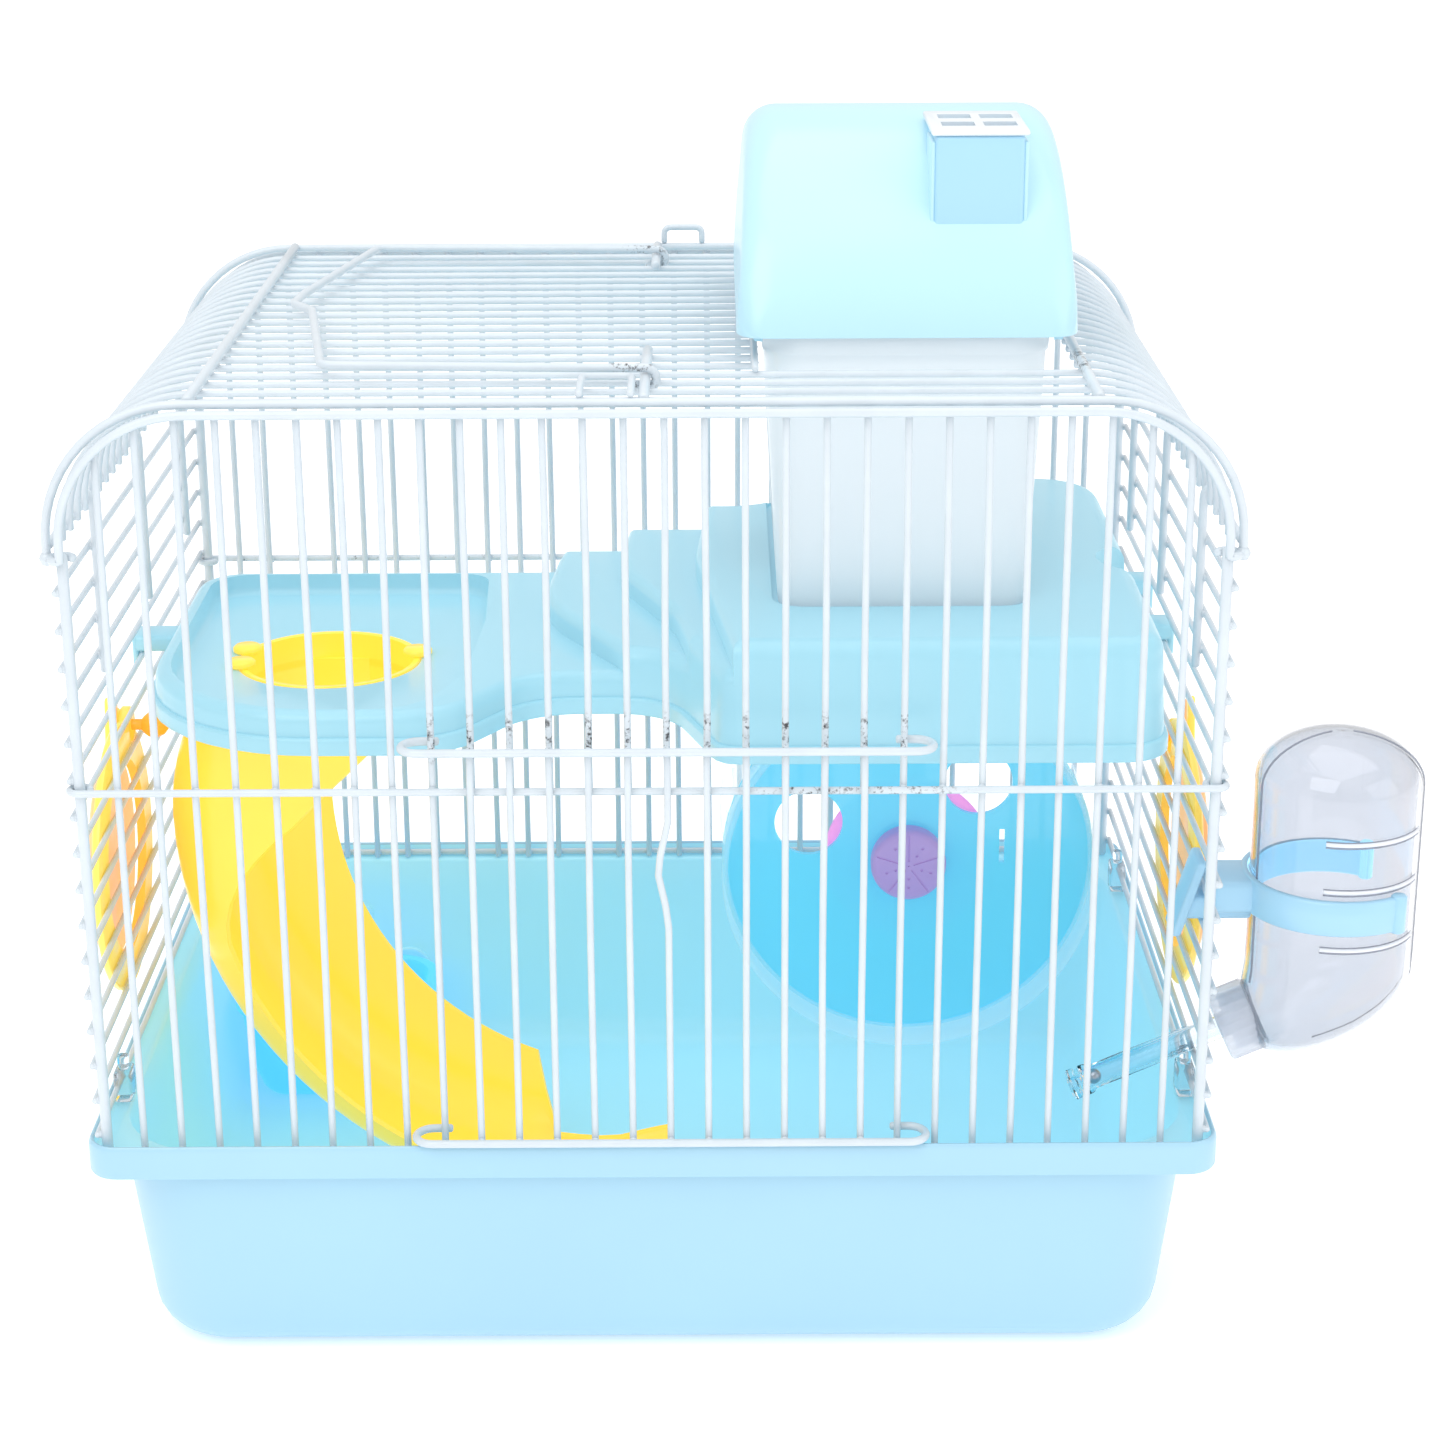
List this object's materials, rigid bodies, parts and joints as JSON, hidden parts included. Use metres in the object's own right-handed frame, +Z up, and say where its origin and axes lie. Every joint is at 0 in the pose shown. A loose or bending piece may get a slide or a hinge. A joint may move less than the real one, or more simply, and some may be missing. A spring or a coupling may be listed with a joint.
{
  "type": "hamster cage",
  "caption": "Small hamster cage: plastic tray, arched wire body with carrying handle, sliding front door, raised deck, slide, running wheel, lidded house, dish, side ports and water bottle.",
  "frame": {"origin": "centre of the tray's flat underside", "axes": "+X to the right of someone facing the sliding door, +Y to the back, +Z up"},
  "size_m": [0.3433, 0.2119, 0.3095],
  "materials": {
    "tray_blue": "smooth sky blue",
    "white_wire": "white plastic-coated wire",
    "clear_clip": "clear",
    "deck_blue": "smooth light blue",
    "dish_blue": "smooth deeper blue",
    "slide_yellow": "smooth yellow",
    "wheel_blue": "translucent blue",
    "wheel_clear": "clear",
    "hub_pink": "pink",
    "cap_purple": "purple",
    "axle_steel": "plain steel",
    "knob_amber": "smooth amber",
    "house_white": "smooth white",
    "lid_cyan": "pale translucent cyan",
    "vent_white": "smooth white",
    "bottle_clear": "clear",
    "cap_clear": "clear",
    "seal_rubber": "pale rubber",
    "tube_clear": "clear",
    "holder_blue": "smooth light blue",
    "ring_yellow": "smooth yellow",
    "door_orange": "smooth orange"
  },
  "bodies": {
    "tray": {"base_tray": "tray_blue"},
    "dish": {"food_dish": "dish_blue"},
    "door": {"door_wires": "white_wire", "door_bars": "white_wire"},
    "handle": {"carry_handle": "white_wire"},
    "wheel": {"wheel_disc": "wheel_blue", "wheel_drum": "wheel_clear", "wheel_hub": "hub_pink", "wheel_hub_cap": "cap_purple"},
    "house": {"house_box": "house_white"},
    "lid": {"house_lid": "lid_cyan", "chimney_vent": "vent_white"},
    "left_flap": {"left_port_door": "door_orange", "left_port_pin": "knob_amber"},
    "right_flap": {"right_port_door": "door_orange", "right_port_pin": "knob_amber"},
    "spout": {"bottle_cap": "cap_clear", "bottle_seal": "seal_rubber", "drinking_tube": "tube_clear"},
    "ball": {"tube_ball": "axle_steel"},
    "cage": {"wire_clips": "clear_clip", "front_wires": "white_wire", "back_wires": "white_wire", "front_rails": "white_wire", "back_rails": "white_wire", "front_arch": "white_wire", "back_arch": "white_wire", "left_side_wires": "white_wire", "right_side_wires": "white_wire", "corner_posts": "white_wire", "left_roof_hooks": "white_wire", "right_roof_hooks": "white_wire", "roof_wires": "white_wire", "roof_frame": "white_wire", "roof_cross_rods": "white_wire", "roof_end_rods": "white_wire", "roof_opening_wire": "white_wire", "front_latch": "white_wire", "back_latch": "white_wire", "handle_pivot_bars": "white_wire", "platform": "deck_blue", "slide_chute": "slide_yellow", "wheel_bracket": "deck_blue", "wheel_axle": "axle_steel", "axle_washer": "axle_steel", "bottle_body": "bottle_clear", "bottle_holder": "holder_blue", "left_port_ring": "ring_yellow", "right_port_ring": "ring_yellow"}
  },
  "joints": [
    {"name": "cage_lift", "type": "slide", "parent": "tray", "child": "cage", "axis": [0, 0, 1], "range_m": [0, 0.08]},
    {"name": "dish_lift", "type": "slide", "parent": "tray", "child": "dish", "axis": [0, 0, 1], "range_m": [0, 0.04]},
    {"name": "door_slide", "type": "slide", "parent": "cage", "child": "door", "axis": [0, 0, 1], "range_m": [0, 0.078]},
    {"name": "handle_hinge", "type": "hinge", "parent": "cage", "child": "handle", "pos_m": [0, 0, 0.25515], "axis": [0, 1, 0], "range_deg": [0, 95]},
    {"name": "wheel_spin", "type": "hinge", "parent": "cage", "child": "wheel", "pos_m": [0.07, 0.02, 0.1], "axis": [0, 1, 0], "continuous": true},
    {"name": "house_lift", "type": "slide", "parent": "cage", "child": "house", "axis": [0, 0, 1], "range_m": [0, 0.09]},
    {"name": "lid_lift", "type": "slide", "parent": "house", "child": "lid", "axis": [0, 0, 1], "range_m": [0, 0.06]},
    {"name": "left_flap_swing", "type": "hinge", "parent": "cage", "child": "left_flap", "pos_m": [-0.145, -0.0165, 0.147], "axis": [1, 0, 0], "range_deg": [-100, 100]},
    {"name": "right_flap_swing", "type": "hinge", "parent": "cage", "child": "right_flap", "pos_m": [0.145, -0.0045, 0.1379], "axis": [1, 0, 0], "range_deg": [-40, 100]},
    {"name": "cap_turn", "type": "hinge", "parent": "cage", "child": "spout", "pos_m": [0.152, -0.075, 0.0861], "axis": [-0.9135, 0, -0.4067], "range_deg": [0, 360]},
    {"name": "ball_push", "type": "slide", "parent": "spout", "child": "ball", "axis": [0.9135, 0, 0.4067], "range_m": [0, 0.003]}
  ]
}
